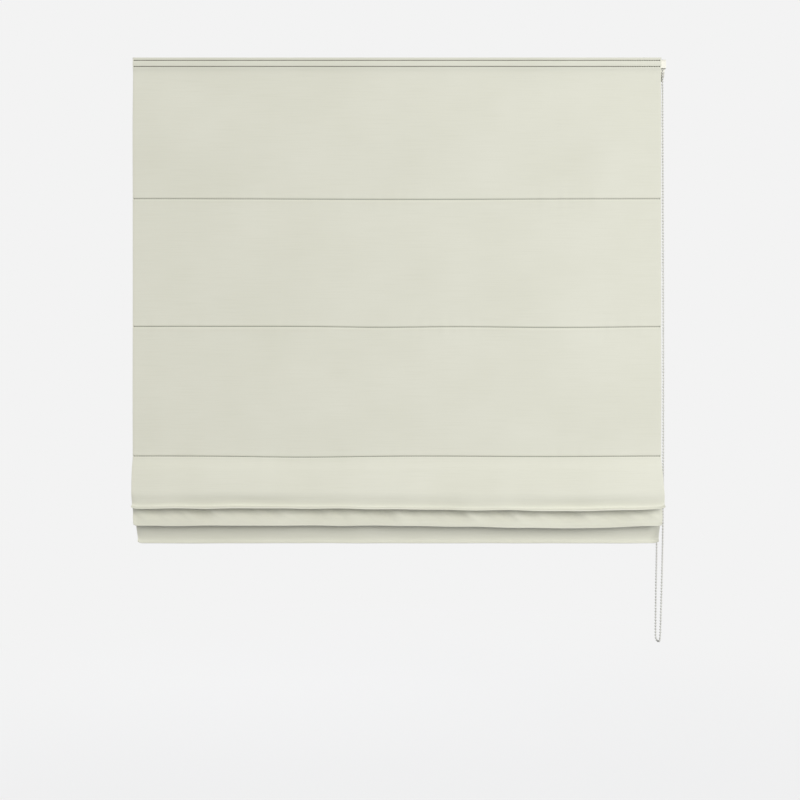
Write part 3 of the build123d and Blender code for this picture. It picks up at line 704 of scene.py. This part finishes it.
def edge_shifts(x, s):
    """Shifts in x, y and z that are largest at the lower edges of the folds."""
    corner_share = np.clip((np.abs(x) - half_width + corner_reach) / corner_reach, 0, 1) ** 2
    shift_x = shift_y = shift_z = 0
    for fold in folds:
        weight, wander, seed = rise_and_fall(s, *fold["span"]), fold["wander"], fold["seed"]
        lift = edge_share * wander * (ripple(x, edge_waves, seed) + ripple(x, short_edge_waves, seed + 1))
        lift = lift + corner_lift * corner_share - fold["drop"] - dips(x, fold["dips"])
        shift_x = shift_x + weight * fold["aside"] - weight ** 4 * fold["taper"] * corner_share * np.sign(x)
        shift_y = shift_y + weight * sway_share * wander * ripple(x, sway_waves, seed + 2)
        shift_z = shift_z + weight * lift
    return shift_x, shift_y, shift_z


# %% [markdown]
# Slanting creases run down the gathered cloth: broad ones, with finer ones over them in the two lower runs.

# %% Creases, and all the shifts together
front_run = (seams[2], seams[2] + 0.075, front_fold)
back_run = (upper_gather, upper_gather + 0.09, back_fold)
hem_run = (lower_gather, lower_gather + 0.1, hem_bar_top)
# Each set of creases has its run, a depth, a slant, the lengths of its waves and a seed.
creases = [
    (front_run, 0.0006, 0.5, [0.19, 0.085, 0.061], 80),
    (back_run, 0.0026, -0.9, [0.13, 0.083, 0.051], 81),
    (back_run, 0.0008, -1.6, [0.043, 0.031, 0.023], 83),
    (hem_run, 0.0024, -0.6, [0.29, 0.16, 0.08], 82),
    (hem_run, 0.0006, -1.8, [0.047, 0.033, 0.026], 84),
]


def drape(x, s):
    """Shifts in x, y and z of the cloth: a row for each distance along, and in it a value for each place across."""
    x, s = x[None, :], s[:, None]
    panel_y, panel_z = panel_shifts(x, s)
    gather_x, gather_y = gather_shifts(x, s)
    edge_x, edge_y, edge_z = edge_shifts(x, s)
    crease_y = sum(depth * rise_and_fall(s, *run) * ripple(x + slant * s, waves, seed)
                   for run, depth, slant, waves, seed in creases)
    return gather_x + edge_x, panel_y + gather_y + edge_y + crease_y, panel_z + edge_z


def places(x, s, depth):
    """Points of the cloth at a depth behind its front, for places across and distances along."""
    angle = np.interp(s, along_route, heading)
    depth = np.broadcast_to(depth, (len(s), len(x)))
    shift_x, shift_y, shift_z = drape(x, s)
    y = np.interp(s, along_route, route_y)[:, None] - np.sin(angle)[:, None] * depth + shift_y
    z = np.interp(s, along_route, route_z)[:, None] + np.cos(angle)[:, None] * depth + shift_z
    return np.stack([x[None, :] + shift_x, y, z], axis=2)


print("edge wave:", round(float(np.ptp(drape(np.linspace(-0.5, 0.5, 99), np.array([front_fold]))[2])) * 1000, 2), "mm")

# %% [markdown]
# ## Cloth pieces
# The cloth is cut into pieces where a rod carries it. A piece on one rod is attached to that rod, and a piece between
# two rods is baked in place. A piece is a closed thin shell: a front, a back, rounded side edges and hidden ends. The
# ends are marked sharp, so that the shading runs on smoothly into the next piece. The side hems are the same sheet
# turned over, so there the back of the shell is one cloth thickness further in.

# %% Shell builder
# The distance between rows on plain cloth, near a row of stitches and above a fold's edge, and the turn at a bend.
plain_row, groove_row, edge_row, bend_row = 0.006, 0.0007, 0.0014, 0.16
groove_band, edge_band, edge_lead = 0.005, 0.010, 0.006


def rows_between(start, end):
    """Distances along the route between two places, closer together at bends, seams and fold edges."""
    bend = np.abs(np.gradient(heading, along_route))
    density = 1 / plain_row + bend / bend_row
    for groove in header_rows + seams:
        density = density + np.exp(-((along_route - groove) / groove_band) ** 2) / groove_row
    for edge in (front_edge, back_edge, hem_edge_low):
        density = density + np.exp(-((along_route - edge + edge_lead) / edge_band) ** 2) / edge_row
    count = np.concatenate([[0], np.cumsum((density[1:] + density[:-1]) / 2 * np.diff(along_route))])
    first, last = np.interp([start, end], along_route, count)
    return np.interp(np.linspace(first, last, max(3, math.ceil(last - first)) + 1), count, along_route)


def shell_faces(rows, columns):
    """The four-sided faces of a closed shell: its front, back, two sides and two ends."""
    front = np.arange(rows * columns).reshape(rows, columns)
    back = front + rows * columns
    corners = [
        (front[:-1, :-1], front[1:, :-1], front[1:, 1:], front[:-1, 1:]),
        (back[:-1, :-1], back[:-1, 1:], back[1:, 1:], back[1:, :-1]),
        (front[:-1, 0], back[:-1, 0], back[1:, 0], front[1:, 0]),
        (front[:-1, -1], front[1:, -1], back[1:, -1], back[:-1, -1]),
        (front[0, :-1], front[0, 1:], back[0, 1:], back[0, :-1]),
        (front[-1, :-1], back[-1, :-1], back[-1, 1:], front[-1, 1:]),
    ]
    return np.concatenate([np.stack(four, axis=-1).reshape(-1, 4) for four in corners])


def cloth_shell(name, x, s, near, far, edge, material):
    """A closed shell of cloth; near and far are its two depths, and edge narrows it at the side columns."""
    middle, half = (near + far) / 2, (far - near) / 2 * edge[None, :]
    front, back = places(x, s, middle - half), places(x, s, middle + half)
    rows, columns = len(s), len(x)
    points = np.concatenate([front.reshape(-1, 3), back.reshape(-1, 3)])
    mesh = bpy.data.meshes.new(name)
    mesh.from_pydata(points.tolist(), [], shell_faces(rows, columns).tolist())
    mesh.polygons.foreach_set("use_smooth", np.ones(len(mesh.polygons), bool))
    corners = np.empty(len(mesh.loops), int)
    mesh.loops.foreach_get("vertex_index", corners)
    flat = np.stack(np.broadcast_arrays(x[None, :], s[:, None]), axis=2).reshape(-1, 2)
    uv = mesh.uv_layers.new(name="cloth_metres")
    uv.data.foreach_set("uv", np.concatenate([flat, flat])[corners].astype(np.float32).ravel())
    ends = np.empty(2 * len(mesh.edges), int)
    mesh.edges.foreach_get("vertices", ends)
    row = (ends.reshape(-1, 2) % (rows * columns)) // columns
    sharp = (row[:, 0] == row[:, 1]) & ((row[:, 0] == 0) | (row[:, 0] == rows - 1))
    mesh.attributes.new("sharp_edge", "BOOLEAN", "EDGE").data.foreach_set("value", sharp)
    mesh.materials.append(material)
    mesh.update()
    return put(name, mesh)


face_thickness = 0.0008
side_hem = 0.038
hem_step = 0.0002
inner_columns, hem_columns = 199, 8
edge_rounding = 0.0008
hem_edge = half_width - side_hem
inner = np.linspace(-hem_edge + hem_step, hem_edge - hem_step, inner_columns)
outer = np.concatenate([np.linspace(hem_edge, half_width - edge_rounding, hem_columns),
                        half_width - edge_rounding * np.array([0.5, 0.15, 0.0])])
face_x = np.concatenate([-outer[::-1], inner, outer])
# The share of the full thickness at each column, which falls off round the side edges.
face_edge = np.interp(half_width - np.abs(face_x), [0, 0.15 * edge_rounding, 0.5 * edge_rounding, edge_rounding],
                      [0.3, 0.65, 0.9, 1.0])
print("columns:", len(face_x))

# %% Where each piece starts and ends, and what it follows
# A piece between two bodies lists two points, given here as y and z; it is baked in place and rides on neither.
stretches = [
    ("panel_1", 0.0, seams[0], ("headrail", "batten_1"), ((cloth_front, -0.170), (cloth_front, -0.284))),
    ("panel_2", seams[0], seams[1], ("batten_1", "batten_2"), ((cloth_front, -0.417), (cloth_front, -0.544))),
    ("panel_3", seams[1], seams[2], ("batten_2", "batten_3"), ((cloth_front, -0.677), (cloth_front, -0.804))),
    ("front_fold", seams[2], front_fold, ("batten_3",), None),
    ("front_return", front_fold, upper_gather, ("batten_3", "batten_4"), ((-0.0410, -0.911), (-0.0157, -0.829))),
    ("back_fold", upper_gather, back_fold, ("batten_4",), None),
    ("back_return", back_fold, lower_gather, ("batten_4", "batten_5"), ((-0.0230, -0.948), (-0.0100, -0.842))),
    ("hem_panel", lower_gather, route_end, ("batten_5",), None),
]


cloth_pieces = []


def declare(piece, node, bodies, points):
    """Hide the node that a piece of cloth stands for; attach the piece to the body it rides on, or bake it in place if
    it joins two.
    """
    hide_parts(node)
    if points is None:
        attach(piece, bodies[0])
    else:
        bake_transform(piece)
    cloth_pieces.append(piece)


# %% [markdown]
# Behind each fold the cloth runs back up to the next rod, out of sight. When the blind comes down, that run turns
# over and hangs below the fold, so the side that was hidden shows. The two layers therefore change places along it:
# the face cloth crosses to the inner side just after the fold's lower edge, and crosses back before the rod.

# %% Layers in the return runs
cross_after, cross_before, cross_length = 0.010, 0.004, 0.008


def crossing(label, s, start, end):
    """How far the layers have changed places, from 0 to 1, at distances along a piece."""
    if not label.endswith("return"):
        return np.zeros((len(s), 1))
    share = np.minimum(np.clip((s - start - cross_after) / cross_length, 0, 1),
                       np.clip((end - s - cross_before) / cross_length, 0, 1))
    return (share * share * (3 - 2 * share))[:, None]


# %% [markdown]
# A row of stitches pulls the front of the cloth in, so each row lies in a narrow groove between two soft ridges.
# Only the front of the shell dips there; its back stays on the tape behind it.

# %% Face cloth
groove_pull, groove_width = 0.0006, 0.0013
ridge_height, ridge_place, ridge_width = 0.0002, 0.0045, 0.002


def groove_depth(s):
    """How far the front of the cloth is pulled in by the stitch rows, for distances along it."""
    away = [np.abs(s - row) for row in header_rows + seams]
    return sum(groove_pull * np.exp(-(d / groove_width) ** 2)
               - ridge_height * np.exp(-((d - ridge_place) / ridge_width) ** 2) for d in away)


for label, start, end, bodies, points in stretches:
    s = rows_between(start, end)
    inward = face_thickness * crossing(label, s, start, end)
    hemmed = (np.abs(face_x)[None, :] >= hem_edge) & (s[:, None] >= side_hem_top) & (s[:, None] <= side_hem_foot)
    far = np.where(hemmed, 2 * face_thickness, face_thickness + inward)
    near = groove_depth(s)[:, None] + np.where(hemmed, 0, inward)
    piece = cloth_shell("face_" + label, face_x, s, near, far, face_edge, finishes["face_fabric"])
    declare(piece, "face_cloth", bodies, points)
print("face cloth pieces:", len(cloth_pieces))

# %% [markdown]
# The lining is a plain sheet behind the face cloth, between its side hems. It takes the same rows and columns, so
# the two stay parallel through every crease.

# %% Lining
lining_gap = 0.00015
lining_thickness = 0.0005
for label, start, end, bodies, points in stretches:
    start, end = max(start, side_hem_top), min(end, lining_foot)
    s = rows_between(start, end)
    outward = face_thickness * crossing(label, s, start, end)
    near = np.broadcast_to(face_thickness + lining_gap - outward, (len(s), len(inner)))
    piece = cloth_shell("lining_" + label, inner, s, near, near + lining_thickness, np.ones(len(inner)),
                        finishes["lining_fabric"])
    declare(piece, "lining", bodies, points)
print("cloth faces:", sum(len(p.data.polygons) for p in cloth_pieces))

# %% [markdown]
# ## Stitching
# Two rows hold the loop tape behind the header, and one row at each seam goes through to a batten tape. From the
# front each row is a line of short dark dashes in a shallow groove. The thread is drawn about three times as thick
# as it is, because it would be too fine to show, and its extra width and darkness are painted shade of the groove.
# Geometry Nodes place the stitches along a line on the cloth.

# %% Stitch tree
stitch_tree, given, stitch_keys, line = node_group(
    "stitches_on_a_seam", ["Pitch", "Length", "Thickness", "Depth"])
stations = add(stitch_tree, "GeometryNodeResampleCurve", {"Curve": line.outputs[0], "Length": given.outputs["Pitch"]},
               mode="LENGTH")
ball = add(stitch_tree, "GeometryNodeMeshUVSphere", {"Segments": 6, "Rings": 4, "Radius": 0.5})
size = add(stitch_tree, "ShaderNodeCombineXYZ", {0: given.outputs["Thickness"], 1: given.outputs["Depth"],
                                                 2: given.outputs["Length"]})
end_tree(stitch_tree, on_points(stitch_tree, stations, ball, {"Scale": size.outputs[0]}), given)


def lines_mesh(name, lines):
    """An object whose mesh is only the edges along some lines of points."""
    points, edges = [], []
    for spots in lines:
        first = len(points)
        points += [tuple(p) for p in spots]
        edges += [(i, i + 1) for i in range(first, len(points) - 1)]
    mesh = bpy.data.meshes.new(name)
    mesh.from_pydata(points, edges, [])
    return put(name, mesh)


stitch_pitch = 0.00486
stitch_length = 0.0036
# Drawn thicker than the real thread, partly as painted shade of the groove; the header rows are bolder, for more
# painted shade.
thread_thickness = 0.0018
thread_depth = 0.0007
header_boldness = 1.2
seam_margin = 0.004
seam_x = np.linspace(-half_width + seam_margin, half_width - seam_margin, 300)


def stitch_rows(name, body, lines, boldness=1.0):
    """Rows of stitches along some lines, which ride on a body; a bold row is larger."""
    piece = run_nodes(lines_mesh(name + "_lines", lines), stitch_tree, stitch_keys,
                      {"Pitch": stitch_pitch, "Length": boldness * stitch_length,
                       "Thickness": boldness * thread_thickness, "Depth": thread_depth, "Material": thread}, name)
    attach(piece, body)
    return piece


def on_cloth(s):
    """A line across the front of the cloth, in its groove, at a distance along it."""
    return places(seam_x, np.array([s]), groove_depth(s) - thread_depth / 4)[0]


# %% Stitch rows
stitches = [stitch_rows("header_stitches", "headrail", [on_cloth(row) for row in header_rows], header_boldness)]
for i, seam in enumerate(seams, start=1):
    stitches.append(stitch_rows(f"seam_stitches_{i}", f"batten_{i}", [on_cloth(seam)]))
print("stitch faces:", sum(len(p.data.polygons) for p in stitches))

# %% [markdown]
# ## Lift cords
# Three cords run from the spools down through the eyelets to their stops. Each stretch between two rods is one piece,
# baked in place. The top stretch, which the spools wind up, is a short stub fixed to the headrail and then short
# lengths below it, each baked in place.

# %% Round cord tree
cord_tree, given, cord_keys, line = node_group("round_cord", ["Radius", "Step"])
stations = add(cord_tree, "GeometryNodeResampleCurve", {"Curve": line.outputs[0], "Length": given.outputs["Step"]},
               mode="LENGTH")
section = add(cord_tree, "GeometryNodeCurvePrimitiveCircle", {"Resolution": 10, "Radius": given.outputs["Radius"]})
tube = add(cord_tree, "GeometryNodeCurveToMesh", {"Curve": stations.outputs[0],
                                                 "Profile Curve": section.outputs[0], "Fill Caps": True})
end_tree(cord_tree, add(cord_tree, "GeometryNodeSetShadeSmooth", {"Geometry": tube.outputs[0]}), given)

# %% Cord places
cord_radius = 0.0007
cord_places = (-0.424, 0.0, 0.424)
cord_nodes = ["lift_cord_left", "lift_cord_middle", "lift_cord_right"]
cord_knots = [(-0.0129, -0.024), (-0.0129, -0.284), (-0.0129, -0.544), (-0.0129, -0.804), (-0.0072, -0.817),
              (-0.0015, -0.830)]
cord_pieces = []


def cord_lengths(name, upper, lower, rows):
    """The three cords between two points in y and z, as one plain mesh."""
    lines = [[(x, *upper), (x, *lower)] for x in cord_places]
    piece = run_nodes(lines_mesh(name + "_lines", lines), cord_tree, cord_keys,
                      {"Radius": cord_radius, "Step": math.dist(upper, lower) / rows,
                       "Material": finishes["lift_cord"]}, name)
    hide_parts(*cord_nodes)
    cord_pieces.append(piece)
    return piece


# %% Top stretch: a fixed stub at the spools, then short lengths
(cord_y, spool_exit), (_, first_eyelet) = cord_knots[:2]
stub_length = 0.0105
stub_end = spool_exit - stub_length
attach(cord_lengths("lift_cord_stubs", (cord_y, spool_exit), (cord_y, stub_end), 1), "headrail")
sliding = 16
cuts = np.linspace(stub_end, first_eyelet, sliding + 1)
for i in range(sliding):
    piece = cord_lengths(f"lift_cords_top_{i + 1}", (cord_y, cuts[i]), (cord_y, cuts[i + 1]), 1)
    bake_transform(piece)
print("top lengths:", sliding, "of", round((stub_end - first_eyelet) / sliding * 1000, 1), "mm")

# %% Stretches between the rods
rows_in_stretch = 26
for i, (upper, lower) in enumerate(zip(cord_knots[1:], cord_knots[2:]), start=1):
    piece = cord_lengths(f"lift_cords_{i}", upper, lower, rows_in_stretch)
    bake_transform(piece)
print("lift cord pieces:", len(cord_pieces))
